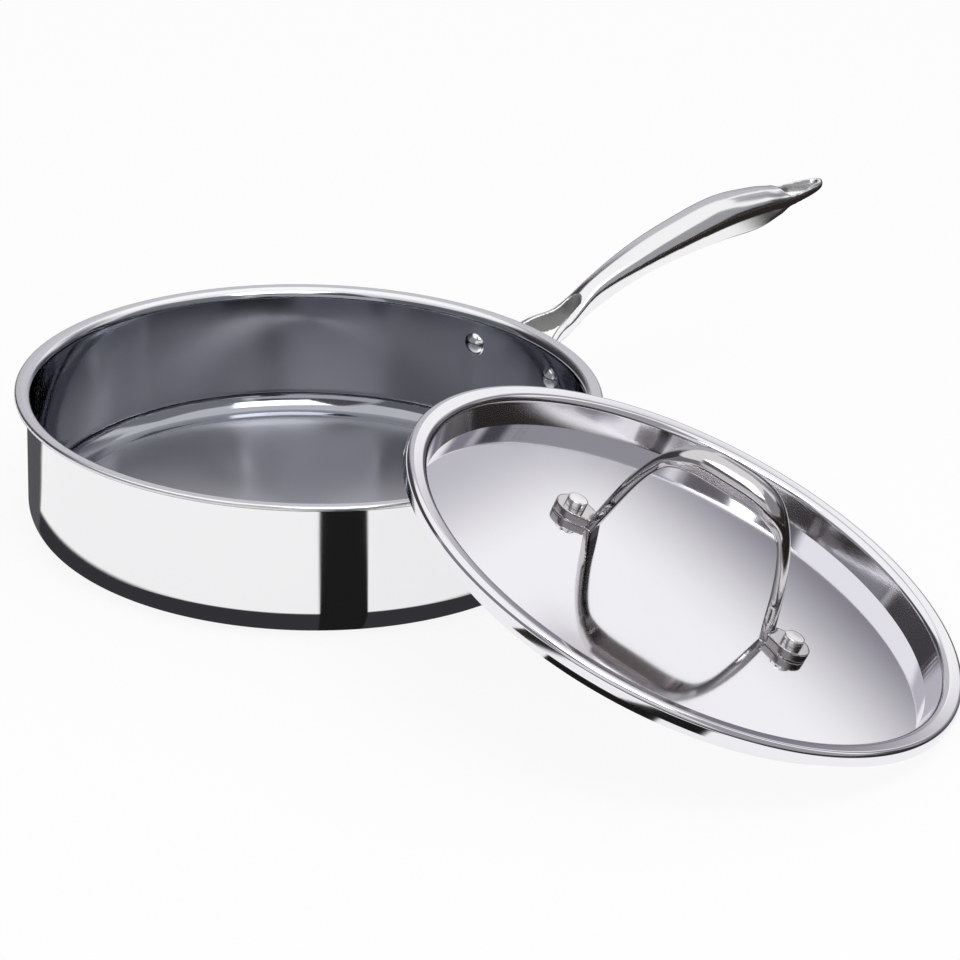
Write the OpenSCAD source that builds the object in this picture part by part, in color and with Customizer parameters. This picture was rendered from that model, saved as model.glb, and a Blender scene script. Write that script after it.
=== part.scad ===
// Saute pan with a long riveted handle and a loose lid that leans on its rim.
// The origin is the middle of the base, +Z is up and the long handle runs along +X.

/* [Pan] */
// Width of the pan over its rim
pan_d = 270; // [240:1:300]
// Height of the pan from the base to the top of the rim
pan_h = 66; // [56:1:84]
// Thickness of the steel layer inside the pan
liner_t = 0.5; // [0.4:0.1:0.8]
// Thickness of the aluminium layer in the middle
core_t = 1.4; // [1:0.1:2.4]
// Thickness of the steel layer outside the pan
skin_t = 0.5; // [0.4:0.1:0.8]
// Inside radius between the floor and the wall
corner_r = 11; // [6:0.5:16]
// Inside radius of the flare under the rim
flare_r = 4.8; // [3.6:0.2:7]
// Width of the flat rim outside the flare
rim_flat = 3.4; // [2.6:0.2:6]

/* [Pan handle] */
// Reach of the handle beyond the rim
handle_reach = 197; // [160:1:230]
// Height of the handle's tip above the rim
handle_rise = 33.5; // [20:0.5:60]
// Widest part of the grip
grip_w = 22.4; // [18:0.2:28]
// Depth of the grip's sides under its top edges
grip_depth = 12.5; // [9:0.5:16]
// Height of the rounded top over its edges
grip_crown = 10; // [6:0.5:13]
// Width of the fork where its legs meet the pan
fork_w = 36; // [30:1:44]
// Thickness of each leg of the fork
leg_t = 3.6; // [3:0.2:4.6]
// Length of the fork's opening beyond the rim
fork_reach = 31; // [26:1:38]
// Half width of the round end of the fork's opening
fork_end_r = 4.2; // [3:0.2:5]
// Width of the hanging eye at its straight side
eye_w = 13.4; // [10:0.2:15]
// Length of the hanging eye
eye_l = 25; // [16:1:30]
// Metal left outside the eye at the handle's tip
eye_tip_wall = 5; // [4:0.5:8]
// Height of the saddle plate that lies on the wall
saddle_h = 17; // [15:0.5:20]
// Thickness of the saddle plate
saddle_t = 3.2; // [2.4:0.1:4.5]
// Gap between the saddle plate and the underside of the rim
saddle_drop = 5; // [4:0.5:8]

/* [Pan rivets] */
// Distance between the two rivets of the handle
rivet_spread = 56; // [52:1:70]
// Diameter of the rivets' shanks
shank_d = 6; // [5:0.2:7]
// Diameter of the domed heads inside the pan
head_d = 11.5; // [9:0.5:14]
// Height of the domed heads inside the pan
head_h = 3.3; // [2:0.1:4]
// Diameter of the closed ends outside the saddle plate
tail_d = 9; // [8:0.2:10]
// Height of the closed ends outside the saddle plate
tail_h = 1.8; // [1:0.1:2.5]
// Play between a shank and its holes
rivet_play = 0.05; // [0.02:0.01:0.1]

/* [Lid] */
// How far the lid's edge lies inside the mouth, down in the flare
lid_play = 3; // [2:0.2:4]
// Thickness of the lid's sheet
lid_t = 1; // [0.8:0.1:1.4]
// Depth of the lid's dish under the top of its flange
dish_depth = 13.8; // [10:0.2:20]
// Width of the flange around the dish
flange_w = 9.8; // [8:0.2:14]
// Slope of the dish's wall, measured across it
dish_slope = 2.3; // [1:0.1:5]
// Height of the panel's middle over its edge
panel_crown = 2.6; // [0.5:0.1:6]
// Height of the lip that turns down around the lid
lip_h = 5.8; // [4.4:0.2:9]

/* [Lid handle] */
// Distance between the two rivets of the lid's handle
lid_rivet_gap = 109; // [104:1:124]
// Height of the arch over the lid's panel
arch_h = 60.5; // [44:0.5:72]
// Width of the arch outside its legs at their feet
arch_w = 93; // [80:1:94]
// How far each leg leans in from its foot to the height of the arch
leg_lean = 12; // [4:0.5:16]
// Depth of the grip at the top of the arch
arch_depth = 12; // [9:0.5:14]
// Depth of the arch's legs
leg_depth = 4.4; // [4:0.2:6]
// Width of the grip at the top of the arch
arch_grip_w = 16.5; // [12:0.5:20]
// Width of the arch's legs at their narrowest
arch_leg_w = 7.6; // [6:0.2:10]
// Width of the legs' feet on the pads
foot_w = 12; // [10:0.5:13]
// Width of the pads under the rivets
pad_w = 17; // [14:0.5:20]
// Thickness of the pads under the rivets
pad_t = 4.2; // [3:0.2:6]
// Rounding of the pads' upper edges
pad_edge = 0.8; // [0.4:0.1:1.2]
// Turn of the handle on the lid
arch_turn = -14; // [-180:1:180]
// Diameter of the lid rivets' shanks
lid_shank_d = 5; // [4:0.2:6]
// Diameter of the lid rivets' flat heads
lid_head_d = 9.2; // [8:0.2:12]
// Height of the lid rivets' heads
lid_head_h = 3.6; // [2:0.2:5]
// Bevel round the top of the lid rivets' heads
lid_head_bevel = 0.6; // [0.2:0.1:1]
// Height of the closed ends under the lid
lid_tail_h = 2.2; // [1:0.2:3]

/* [Lid leaning on the pan] */
// Distance of the lid's middle from the rim of the pan
lid_out = 93; // [86:0.2:100]
// Direction of the lid's middle from the pan's middle
lid_dir = -83.5; // [-90:0.1:-70]
// Direction in which the lid leans down
lean_dir = -51.8; // [-60:0.1:-40]
// Gap left where the lid touches the rim and the floor
touch_gap = 0.25; // [0.2:0.05:0.5]

/* [Hidden] */
$fn = 96;
eps = 0.01;

// Pan, worked out from the sizes above
sheet_t = liner_t + core_t + skin_t;
rim_r = pan_d / 2;
mouth_r = rim_r - rim_flat;
wall_in = mouth_r - flare_r;
wall_out = wall_in + sheet_t;
edge_r = sheet_t / 2;

// Saddle plate and rivets of the pan
saddle_top = pan_h - sheet_t - saddle_drop;
rivet_z = saddle_top - saddle_h / 2;
rivet_turn = asin(rivet_spread / 2 / wall_out);
saddle_turn = rivet_turn + asin((saddle_h / 2) / wall_out);
hole_r = shank_d / 2 + rivet_play;
tail_taper = 0.8;
tail_seat = 0.1;

// Long handle: each row gives a distance from the root as a share of the handle's length, the height of
// the top edges as a share of the rise, the depth of the sides as a share of the grip's depth, the width
// as a share of the grip's width and the crown as a share of the grip's crown
root_r = wall_out + 1;
tip_r = rim_r + handle_reach;
handle_l = tip_r - root_r;
ROWS = [
    [0.00, -0.30, 1.10, 0.59, 0.10],
    [0.07, -0.06, 1.02, 0.59, 0.12],
    [0.13, 0.02, 0.80, 0.59, 0.24],
    [0.22, 0.31, 0.82, 0.59, 0.46],
    [0.36, 0.59, 0.70, 0.83, 0.74],
    [0.50, 0.79, 0.80, 0.96, 0.92],
    [0.64, 0.94, 0.98, 1.00, 1.00],
    [0.77, 0.99, 1.02, 0.89, 0.78],
    [0.84, 0.95, 0.58, 0.81, 0.66],
    [0.92, 0.98, 0.32, 0.66, 0.44],
    [1.00, 1.05, 0.26, 0.60, 0.30]];
neck_w = grip_w * ROWS[0][3];
fork_l = (rim_r + fork_reach - root_r) / handle_l;
fork_blend = 1.2 * fork_l;
side_edge = 1.6;
belly_w = 0.6;
belly_flat_w = 0.36;
belly_side = 0.86;
tip_crown = 0.4;
ring_count = 44;
tip_rings = 7;
tip_round = 0.9;
tip_turn = 80;
crown_steps = 8;

// Hanging eye
eye_in = tip_r - eye_tip_wall - eye_l;
eye_corner_r = 1.6;
eye_end_r = 1.5;
eye_waist_at = 0.45;
eye_waist_w = 0.48;
eye_waist_r = 2.4;

// Lid, in its own frame: the top of the flange is at height 0
lid_r = mouth_r - lid_play;
dish_r = lid_r - flange_w;
panel_r = dish_r - dish_slope;
shoulder_r = 3.6;
shoulder_from = 172;
bead_r = 2.6;
bead_from = 95;
bead_rise = 0.5;

// Leaning lid
rim_touch = [mouth_r, rim_r - edge_r / 2];

// Lid handle
pad_z = -dish_depth + panel_crown * (1 - pow(lid_rivet_gap / 2 / panel_r, 2));
outer_power = 3.2;
inner_power = 5;
arch_rings = 20;
ring_spread = 1.5;
foot_h = 15;
grip_from = 0.6;
ring_edge = 0.56;
inner_edge = 0.9;
inner_w = 0.8;
lid_hole_r = lid_shank_d / 2 + rivet_play;

function mix(a, b, k) = a + (b - a) * k;
function ease(k) = k * k * (3 - 2 * k);
function clamp01(k) = min(1, max(0, k));

// Smooth curve through column c of the rows: Hermite pieces with slopes from the neighbours
function slope(t, i, c) = let (a = max(0, i - 1), b = min(len(t) - 1, i + 1))
    (t[b][c] - t[a][c]) / (t[b][0] - t[a][0]);
function piece(t, x, i = 0) = i >= len(t) - 2 || x <= t[i + 1][0] ? i : piece(t, x, i + 1);
function smooth(t, x, c) = let (i = piece(t, x), w = t[i + 1][0] - t[i][0], k = (x - t[i][0]) / w)
    (2 * pow(k, 3) - 3 * k * k + 1) * t[i][c] + (pow(k, 3) - 2 * k * k + k) * w * slope(t, i, c)
    + (3 * k * k - 2 * pow(k, 3)) * t[i + 1][c] + (pow(k, 3) - k * k) * w * slope(t, i + 1, c);

// Half width of the handle: the fork draws in to the neck, and the tip is rounded
function fork_extra(k) = (fork_w - neck_w) * (1 - sin(90 * clamp01(k / fork_blend)));
function tip_shape(k) = k < tip_round ? 1
    : sqrt(1 - pow((k - tip_round) / (1 - tip_round) * sin(tip_turn), 2));
function handle_half(k) = (grip_w * smooth(ROWS, k, 3) + fork_extra(k)) * tip_shape(k) / 2;
handle_stations = concat([for (i = [0 : ring_count]) tip_round * i / ring_count],
    [for (i = [1 : tip_rings]) mix(tip_round, 1, sin(tip_turn * i / tip_rings) / sin(tip_turn))]);

// One ring of the handle, at share k of its length
function handle_ring(k) = let (
    x = root_r + k * handle_l,
    w = handle_half(k),
    z = pan_h + handle_rise * smooth(ROWS, k, 1),
    d = grip_depth * smooth(ROWS, k, 2),
    c = grip_crown * smooth(ROWS, k, 4) * mix(tip_crown, 1, tip_shape(k)),
    e = min(side_edge, d / 3),
    b = w * belly_w,
    f = w * belly_flat_w)
    concat(
        [for (i = [0 : crown_steps]) let (a = 180 * i / crown_steps) [x, w * cos(a), z + c * sin(a)]],
        [[x, -w, z - e], [x, -b, z - d * belly_side], [x, -f, z - d], [x, f, z - d],
            [x, b, z - d * belly_side], [x, w, z - e]]);

// A skin over rings that all have the same number of points
module loft(rings) {
    n = len(rings[0]);
    last = len(rings) - 1;
    points = [for (r = rings, p = r) p];
    sides = [for (i = [0 : last - 1], j = [0 : n - 1]) let (k = (j + 1) % n)
        [i * n + j, (i + 1) * n + j, (i + 1) * n + k, i * n + k]];
    first_cap = [for (j = [1 : n - 2]) [0, j, j + 1]];
    last_cap = [for (j = [1 : n - 2]) [last * n, last * n + j + 1, last * n + j]];
    polyhedron(points, concat([for (f = sides) [f[0], f[1], f[2]]], [for (f = sides) [f[0], f[2], f[3]]],
        first_cap, last_cap), convexity = 8);
}

// A quarter of a ring, in the quadrant given by the signs of x and y
module quarter_ring(inner, outer, sx, sy) {
    intersection() {
        difference() {
            circle(r = outer);
            circle(r = inner);
        }
        translate([sx > 0 ? 0 : -outer, sy > 0 ? 0 : -outer]) square(outer);
    }
}

// Half section of one layer of the pan's sheet, from depth a to depth b under the inner face
module layer_section(a, b) {
    translate([0, sheet_t - b]) square([wall_in - corner_r, b - a]);
    translate([wall_in - corner_r, sheet_t + corner_r]) quarter_ring(corner_r + a, corner_r + b, 1, -1);
    translate([wall_in + a, sheet_t + corner_r]) square([b - a, pan_h - flare_r - sheet_t - corner_r]);
    translate([mouth_r, pan_h - flare_r]) quarter_ring(flare_r - b, flare_r - a, -1, 1);
    translate([mouth_r, pan_h - b]) square([rim_r - edge_r - mouth_r, b - a]);
    intersection() {
        translate([rim_r - edge_r, pan_h - edge_r]) circle(r = edge_r);
        translate([rim_r - edge_r, pan_h - b]) square([edge_r, b - a]);
    }
}

// Radial holes for the two rivets of the long handle
module rivet_holes() {
    for (side = [-1, 1])
        rotate([0, 90, side * rivet_turn])
            translate([-rivet_z, 0, wall_in - head_h])
                cylinder(r = hole_r, h = sheet_t + saddle_t + head_h + tail_h);
}

module pan_layer(a, b) {
    difference() {
        rotate_extrude($fn = 192) layer_section(a, b);
        rivet_holes();
    }
}

module pan_liner() { color("gainsboro") pan_layer(0, liner_t); }
module pan_core() { color("darkgray") pan_layer(liner_t, liner_t + core_t); }
module pan_skin() { color("silver") pan_layer(liner_t + core_t, sheet_t); }

// Plate on the wall under the rim, with round ends about the rivets
module saddle() {
    intersection() {
        rotate([0, 0, -saddle_turn])
            rotate_extrude(angle = 2 * saddle_turn, $fn = 192)
                translate([wall_out, saddle_top - saddle_h]) square([saddle_t, saddle_h]);
        union() {
            for (side = [-1, 1])
                rotate([0, 90, side * rivet_turn])
                    translate([-rivet_z, 0, wall_out - saddle_t])
                        cylinder(d = saddle_h, h = 3 * saddle_t);
            translate([wall_out / 2, -rivet_spread / 2, saddle_top - saddle_h])
                cube([wall_out, rivet_spread, saddle_h]);
        }
    }
}

// The opening between the legs of the fork, seen from above
module fork_outline() {
    end_x = rim_r + fork_reach - fork_end_r;
    steps = [for (i = [0 : 8]) i / 8];
    side = [for (s = steps) let (x = mix(root_r - 4, end_x, s), k = (x - root_r) / handle_l)
        [x, mix(max(fork_end_r, handle_half(max(0, k)) - leg_t), fork_end_r, pow(s, 6))]];
    polygon(concat(side, [for (i = [len(side) - 1 : -1 : 0]) [side[i][0], -side[i][1]]]));
    translate([end_x, 0]) circle(r = fork_end_r);
}

// The hanging eye, seen from above: straight at the grip and pointed at the tip
module eye_outline() {
    hull() {
        for (side = [-1, 1]) {
            translate([eye_in + eye_corner_r, side * (eye_w / 2 - eye_corner_r)])
                circle(r = eye_corner_r, $fn = 32);
            translate([eye_in + eye_l * eye_waist_at, side * eye_w / 2 * eye_waist_w])
                circle(r = eye_waist_r, $fn = 32);
        }
        translate([eye_in + eye_l - eye_end_r, 0]) circle(r = eye_end_r, $fn = 32);
    }
}

module pan_handle() {
    cut_h = handle_rise + grip_crown + saddle_h + grip_depth;
    color("lightgray")
        difference() {
            union() {
                loft([for (k = handle_stations) handle_ring(k)]);
                saddle();
            }
            translate([0, 0, pan_h - 2 * saddle_h]) linear_extrude(2 * cut_h) fork_outline();
            translate([0, 0, pan_h - grip_depth]) linear_extrude(2 * cut_h) eye_outline();
            cylinder(r = wall_out, h = pan_h, $fn = 192);
            rivet_holes();
        }
}

// Domed head of a rivet under height 0, with a skirt that goes on upwards
module domed_head(r, h, skirt) {
    dome_r = (r * r + h * h) / (2 * h);
    intersection() {
        translate([0, 0, dome_r - h]) sphere(r = dome_r);
        translate([0, 0, -h]) cylinder(r = r, h = h);
    }
    cylinder(r = r, h = skirt);
}

// Shank of a rivet along +Z with its closed end, which starts at the given height
module rivet_shank(r, start, grip, tail_r, tail_h) {
    translate([0, 0, start]) cylinder(r = r, h = grip - start + tail_h / 2);
    translate([0, 0, grip]) cylinder(r1 = tail_r, r2 = tail_r * tail_taper, h = tail_h);
}

module at_pan_rivet(side) {
    rotate([0, 0, side * rivet_turn]) translate([wall_in, 0, rivet_z]) rotate([0, 90, 0]) children();
}

module pan_rivet(side) {
    color("whitesmoke") {
        intersection() {
            at_pan_rivet(side) domed_head(head_d / 2, head_h, sheet_t / 2);
            cylinder(r = wall_in, h = pan_h, $fn = 192);
        }
        at_pan_rivet(side)
            rivet_shank(shank_d / 2, -head_h / 2, sheet_t + saddle_t, tail_d / 2, tail_h);
    }
}

module pan_rivet_left() { pan_rivet(1); }
module pan_rivet_right() { pan_rivet(-1); }

// Line of the lid's upper face from its middle to the end of its lip
function arc(c, r, from, to, steps) = [for (i = [0 : steps]) let (a = mix(from, to, i / steps))
    [c[0] + r * cos(a), c[1] + r * sin(a)]];
panel_line = [for (i = [0 : 12]) let (r = panel_r * i / 12)
    [r, -dish_depth + panel_crown * (1 - pow(i / 12, 2))]];
shoulder_line = arc([dish_r + shoulder_r, -bead_rise - shoulder_r], shoulder_r, shoulder_from, 90, 7);
bead_line = arc([lid_r - bead_r, -bead_r], bead_r, bead_from, 0, 8);
lid_line = concat(panel_line, shoulder_line, bead_line, [[lid_r, -lip_h]]);

// The same line one sheet thickness further down or inwards
function turn_at(line, i) = let (
    a = line[max(0, i - 1)],
    b = line[min(len(line) - 1, i + 1)],
    d = b - a) d / norm(d);
under_line = [for (i = [0 : len(lid_line) - 1]) let (d = turn_at(lid_line, i))
    i == 0 ? lid_line[0] - [0, lid_t] : lid_line[i] + lid_t * [d[1], -d[0]]];
lip_start = len(lid_line) - 3;
under_table = concat([for (i = [0 : lip_start]) under_line[i]],
    [[lid_r - lid_t / 2, -lip_h], [lid_r, -lip_h], [lid_r + eps, pan_h]]);

// The tilt at which the lid's lowest point is on the floor and its dish rests on the rim
function lid_drop(tilt) = max([for (p = concat(lid_line, under_line)) p[0] * sin(tilt) - p[1] * cos(tilt)]);
function lid_centre(tilt) = [(rim_r + lid_out) * cos(lid_dir), (rim_r + lid_out) * sin(lid_dir),
    lid_drop(tilt) + touch_gap];
function sink(tilt) = let (
    c = lid_centre(tilt),
    up = [sin(tilt) * cos(lean_dir), sin(tilt) * sin(lean_dir), cos(tilt)],
    down = [cos(tilt) * cos(lean_dir), cos(tilt) * sin(lean_dir), -sin(tilt)],
    across = [-sin(lean_dir), cos(lean_dir), 0])
    max([for (a = [-140 : 1 : 0], r = rim_touch) let (p = [r * cos(a), r * sin(a), pan_h] - c)
        p * up - lookup(norm([p * down, p * across]), under_table)]);
function find_tilt(low, high, tries) = tries == 0 ? high : let (middle = (low + high) / 2)
    sink(middle) > -touch_gap ? find_tilt(middle, high, tries - 1) : find_tilt(low, middle, tries - 1);
lid_tilt = find_tilt(8, 50, 18);

module on_lid() {
    translate(lid_centre(lid_tilt)) rotate([0, lid_tilt, lean_dir]) children();
}

module on_arch() {
    on_lid() rotate([0, 0, arch_turn]) children();
}

module lid_rivet_holes() {
    for (side = [-1, 1])
        translate([side * lid_rivet_gap / 2, 0, pad_z - lid_t - lid_tail_h])
            cylinder(r = lid_hole_r, h = lid_t + lid_tail_h + pad_t + lid_head_h);
}

module lid_shell() {
    color("gainsboro")
        on_arch()
            difference() {
                rotate_extrude($fn = 192)
                    polygon(concat(lid_line, [for (i = [len(under_line) - 1 : -1 : 0]) under_line[i]]));
                lid_rivet_holes();
            }
}

// Half span and height of the arch's outer or inner edge at angle a round it: a superellipse whose
// sides lean in
function bow(a, half, rise, power) = let (h = pow(sin(a), 2 / power))
    [sign(cos(a)) * (half - leg_lean * h) * pow(abs(cos(a)), 2 / power), rise * h];

// Half width of the arch: a broad foot, a narrow leg and a grip that swells to the middle
function arch_half(a, h) = (h < foot_h ? mix(foot_w, arch_leg_w, ease(h / foot_h))
    : mix(arch_leg_w, arch_grip_w, ease(clamp01((sin(a) - grip_from) / (1 - grip_from))))) / 2;
arch_turns = [for (i = [0 : 2 * arch_rings]) let (t = 1 - abs(i - arch_rings) / arch_rings,
    a = 90 * pow(t, ring_spread)) i < arch_rings ? 180 - a : a];

// One ring of the arch: rounded outside, edges at the sides and flat inside
function arch_ring(a) = let (
    o = bow(a, arch_w / 2, arch_h, outer_power),
    n = bow(a, arch_w / 2 - leg_depth, arch_h - arch_depth, inner_power),
    w = arch_half(a, o[1]),
    spots = concat(
        [for (i = [0 : crown_steps]) let (t = 180 * i / crown_steps)
            [w * cos(t), ring_edge * (1 - sin(t))]],
        [[-w, inner_edge], [-w * inner_w, 1], [w * inner_w, 1], [w, inner_edge]]))
    [for (s = spots) [mix(o[0], n[0], s[1]), s[0], pad_z + mix(o[1], n[1], s[1])]];

// Space under the panel's upper face, with which the pads' feet are cut to fit
module under_panel() {
    rotate_extrude($fn = 96)
        polygon(concat([[0, -dish_depth - pad_t]], panel_line, [[panel_r, -dish_depth - pad_t]]));
}

// Pad under one rivet: a thick tongue, round about the rivet, that runs into the foot of the leg
module lid_pad(side) {
    below = panel_crown / 2;
    foot_x = arch_w / 2 - leg_depth + foot_w / 2;
    translate([0, 0, pad_z - below])
        hull()
            for (end = [[lid_rivet_gap / 2, pad_w / 2], [foot_x, foot_w / 2]])
                translate([side * end[0], 0, 0]) {
                    cylinder(r = end[1], h = below + pad_t - pad_edge, $fn = 32);
                    cylinder(r = end[1] - pad_edge, h = below + pad_t, $fn = 32);
                }
}

module lid_handle() {
    color("lightgray")
        on_arch()
            difference() {
                union() {
                    loft([for (a = arch_turns) arch_ring(a)]);
                    lid_pad(-1);
                    lid_pad(1);
                }
                under_panel();
                lid_rivet_holes();
            }
}

// Flat head of a lid rivet under height 0, with a bevel round its top
module flat_head(r, h, bevel) {
    translate([0, 0, bevel - h]) cylinder(r = r, h = h - bevel);
    translate([0, 0, -h]) cylinder(r1 = r - bevel, r2 = r, h = bevel);
}

module lid_rivet(side) {
    color("whitesmoke")
        on_arch()
            translate([side * lid_rivet_gap / 2, 0, pad_z + pad_t])
                rotate([180, 0, 0]) {
                    flat_head(lid_head_d / 2, lid_head_h, lid_head_bevel);
                    rivet_shank(lid_shank_d / 2, -lid_head_h / 2, lid_t + pad_t + tail_seat,
                        lid_head_d / 2, lid_tail_h);
                }
}

module lid_rivet_left() { lid_rivet(-1); }
module lid_rivet_right() { lid_rivet(1); }

pan_liner();
pan_core();
pan_skin();
pan_handle();
pan_rivet_left();
pan_rivet_right();
lid_shell();
lid_handle();
lid_rivet_left();
lid_rivet_right();
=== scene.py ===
import math

import bpy
import bmesh
import numpy as np
from mathutils import Matrix, Vector


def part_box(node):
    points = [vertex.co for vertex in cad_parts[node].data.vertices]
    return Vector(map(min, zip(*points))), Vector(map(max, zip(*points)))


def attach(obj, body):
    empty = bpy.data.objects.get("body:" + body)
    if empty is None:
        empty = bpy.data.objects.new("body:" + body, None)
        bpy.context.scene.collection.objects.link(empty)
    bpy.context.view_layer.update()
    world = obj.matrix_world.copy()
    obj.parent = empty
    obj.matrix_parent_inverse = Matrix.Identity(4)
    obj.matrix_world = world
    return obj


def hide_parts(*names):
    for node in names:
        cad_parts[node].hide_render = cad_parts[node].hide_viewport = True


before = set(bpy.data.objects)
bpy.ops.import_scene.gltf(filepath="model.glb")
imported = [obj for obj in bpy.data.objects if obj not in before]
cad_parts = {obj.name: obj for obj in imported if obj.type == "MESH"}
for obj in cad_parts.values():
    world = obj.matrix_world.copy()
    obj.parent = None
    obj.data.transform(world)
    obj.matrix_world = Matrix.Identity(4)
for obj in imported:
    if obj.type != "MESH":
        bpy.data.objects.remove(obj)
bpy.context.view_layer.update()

# Lengths in this script are millimetres in the object's frame, and MM turns them into metres
MM = 0.001

# Faces that meet at more than this many degrees keep a sharp edge between them
SHARP_ANGLE, RIVET_ANGLE, CASTING_ANGLE = 32, 40, 60

# Steps round the pan and the lid, round a rivet and over the crown of a handle
REVOLVE_STEPS, RIVET_STEPS, CROWN_STEPS = 288, 64, 24

# Camera: fitted to the outlines of the pan and the lid in the 960 x 960 photograph
CAMERA_PLACE = (-897.79, -1136.8, 659.25)
CAMERA_HEADING = 48.5407
CAMERA_PITCH = -23.7566
CAMERA_ROLL = 2.2993
CAMERA_LENS = 127.5
SENSOR_WIDTH = 36.0


def frame_size(node):
    """Lowest and highest corner of a CAD node, in millimetres."""
    low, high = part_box(node)
    return low / MM, high / MM


# Pan, with its size from the frame and its section as the CAD part has it
PAN_HEIGHT = frame_size("pan_liner")[1].z
RIM_R = frame_size("pan_core")[1].y
LINER_T, CORE_T, SKIN_T = 0.5, 1.4, 0.5
SHEET_T = LINER_T + CORE_T + SKIN_T
FLARE_R = 4.8
RIM_FLAT = 3.4
CORNER_R = 11.0
EDGE_R = SHEET_T / 2
MOUTH_R = RIM_R - RIM_FLAT
WALL_IN = MOUTH_R - FLARE_R
WALL_OUT = WALL_IN + SHEET_T

# Long handle
HANDLE_REACH, HANDLE_RISE = 197.0, 33.5
GRIP_W, GRIP_DEPTH, GRIP_CROWN = 22.4, 12.5, 10.0
FORK_W, LEG_T, FORK_REACH, FORK_END_R = 36.0, 3.6, 31.0, 4.2
FORK_START, FORK_POWER = 4.0, 6
EYE_W, EYE_L, EYE_TIP_WALL = 13.4, 25.0, 5.0
EYE_CORNER_R, EYE_END_R, EYE_BEND_R = 1.6, 1.5, 2.4
EYE_BEND_X, EYE_BEND_Y = 0.45, 0.24
EYE_UNDER, EYE_STRAIGHT, EYE_DRAFT, EYE_FLARE = 10.0, 1.0, 1.8, 0.55
SADDLE_H, SADDLE_T, SADDLE_DROP = 17.0, 3.2, 5.0
SADDLE_MIDDLE = PAN_HEIGHT - SHEET_T - SADDLE_DROP - SADDLE_H / 2
RIVET_SPREAD = 56.0
RIVET_TURN = math.asin(RIVET_SPREAD / 2 / WALL_OUT)
ROOT_R = WALL_OUT + 1
TIP_R = RIM_R + HANDLE_REACH
HANDLE_L = TIP_R - ROOT_R

# Share of the handle's length, then shares of its rise, depth, width and crown there
HANDLE_ROWS = [
    (0.00, -0.30, 1.10, 0.59, 0.10),
    (0.07, -0.06, 1.02, 0.59, 0.12),
    (0.13, 0.02, 0.80, 0.59, 0.24),
    (0.22, 0.31, 0.82, 0.59, 0.46),
    (0.36, 0.59, 0.70, 0.83, 0.74),
    (0.50, 0.79, 0.80, 0.96, 0.92),
    (0.64, 0.94, 0.98, 1.00, 1.00),
    (0.77, 0.99, 1.02, 0.89, 0.78),
    (0.84, 0.97, 0.62, 0.81, 0.66),
    (0.92, 1.01, 0.38, 0.66, 0.44),
    (1.00, 1.06, 0.28, 0.60, 0.30),
]
NECK_W = GRIP_W * HANDLE_ROWS[0][3]
FORK_BLEND = 1.2 * (RIM_R + FORK_REACH - ROOT_R) / HANDLE_L
SIDE_EDGE = 1.6
BELLY_W, BELLY_FLAT_W, BELLY_SIDE = 0.6, 0.36, 0.86
TIP_ROUND = 0.9
TIP_TURN = math.radians(80)
TIP_CROWN = 0.4

# Casting skin of the long handle: how near an opening and how upright a face has it, each with the
# span over which it fades, and the eye's share of it
CAST_REACH, CAST_FADE = 1.1, 0.5
CAST_UPRIGHT, CAST_UPRIGHT_FADE = 0.35, 0.3
EYE_CAST = 0.5

# Lid, in its own frame with the top of its flange at height 0
LID_PLAY = 3.0
LID_T = 1.0
DISH_DEPTH, DISH_SLOPE, FLANGE_W = 13.8, 2.3, 9.8
PANEL_CROWN = 2.6
LIP_H = 5.8
SHOULDER_R, BEAD_R, BEAD_RISE = 3.6, 2.6, 0.5
SHOULDER_FROM, BEAD_FROM = 172, 95
LID_R = MOUTH_R - LID_PLAY
DISH_R = LID_R - FLANGE_W
PANEL_R = DISH_R - DISH_SLOPE

# How the lid leans: its middle at the flange's top, its tilt, its heading and its handle's turn
LID_CENTRE = (25.8103, -226.534, 57.4685)
LID_TILT = 21.9033
LEAN_DIR = -51.8
ARCH_TURN = -14.0

# Lid handle
LID_RIVET_GAP = 109.0
ARCH_H, ARCH_W, LEG_LEAN = 60.5, 93.0, 12.0
ARCH_DEPTH, LEG_DEPTH = 12.0, 4.4
ARCH_GRIP_W, ARCH_LEG_W, FOOT_W, FOOT_H = 16.5, 7.6, 12.0, 15.0
OUTER_POWER, INNER_POWER = 3.2, 5.0
GRIP_FROM, RING_EDGE, INNER_EDGE, INNER_W = 0.6, 0.56, 0.9, 0.8
RING_SPREAD = 1.5
PAD_W, PAD_T, PAD_LIFT = 17.0, 4.2, 0.05
PAD_Z = -DISH_DEPTH + PANEL_CROWN * (1 - (LID_RIVET_GAP / 2 / PANEL_R) ** 2)

# Painted shade on the lid's handle, darkening the arch's inner face: how far a face looks inwards
# where it starts, the span over which it grows, and the share of it on the sides of the pads
UNDERSIDE_FROM, UNDERSIDE_SPAN, PAD_MARK = -0.25, 0.5, 0.6

# Pan rivets: a domed head whose short edge sinks into the curved wall, a shank and a round end
PAN_HEAD_R, PAN_HEAD_H = 5.75, 3.3
PAN_HEAD_EDGE, PAN_HEAD_SINK = 0.25, 0.35
PAN_SHANK_R, PAN_TAIL_R, PAN_TAIL_H = 3.0, 4.5, 1.8

# Lid rivets: a low bevelled cylinder with a small chamfer at its foot, and an end under the lid
LID_HEAD_R, LID_HEAD_H = 4.6, 3.6
LID_HEAD_BEVEL, LID_HEAD_CROWN = 0.6, 0.985
LID_FOOT_H, LID_FOOT_IN = 0.15, 0.2
LID_SHANK_R, LID_TAIL_GAP, LID_TAIL_H, LID_TAIL_TAPER = 2.5, 0.1, 2.2, 0.8

# How finely the castings are remeshed, and the smoothing that rounds their edges
HANDLE_VOXEL, ARCH_VOXEL = 0.55, 0.4
SMOOTH_SHARE, SMOOTH_ROUNDS = 0.5, 6


def mix(a, b, k):
    return a + (b - a) * k


def ease(k):
    return k * k * (3 - 2 * k)


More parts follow.
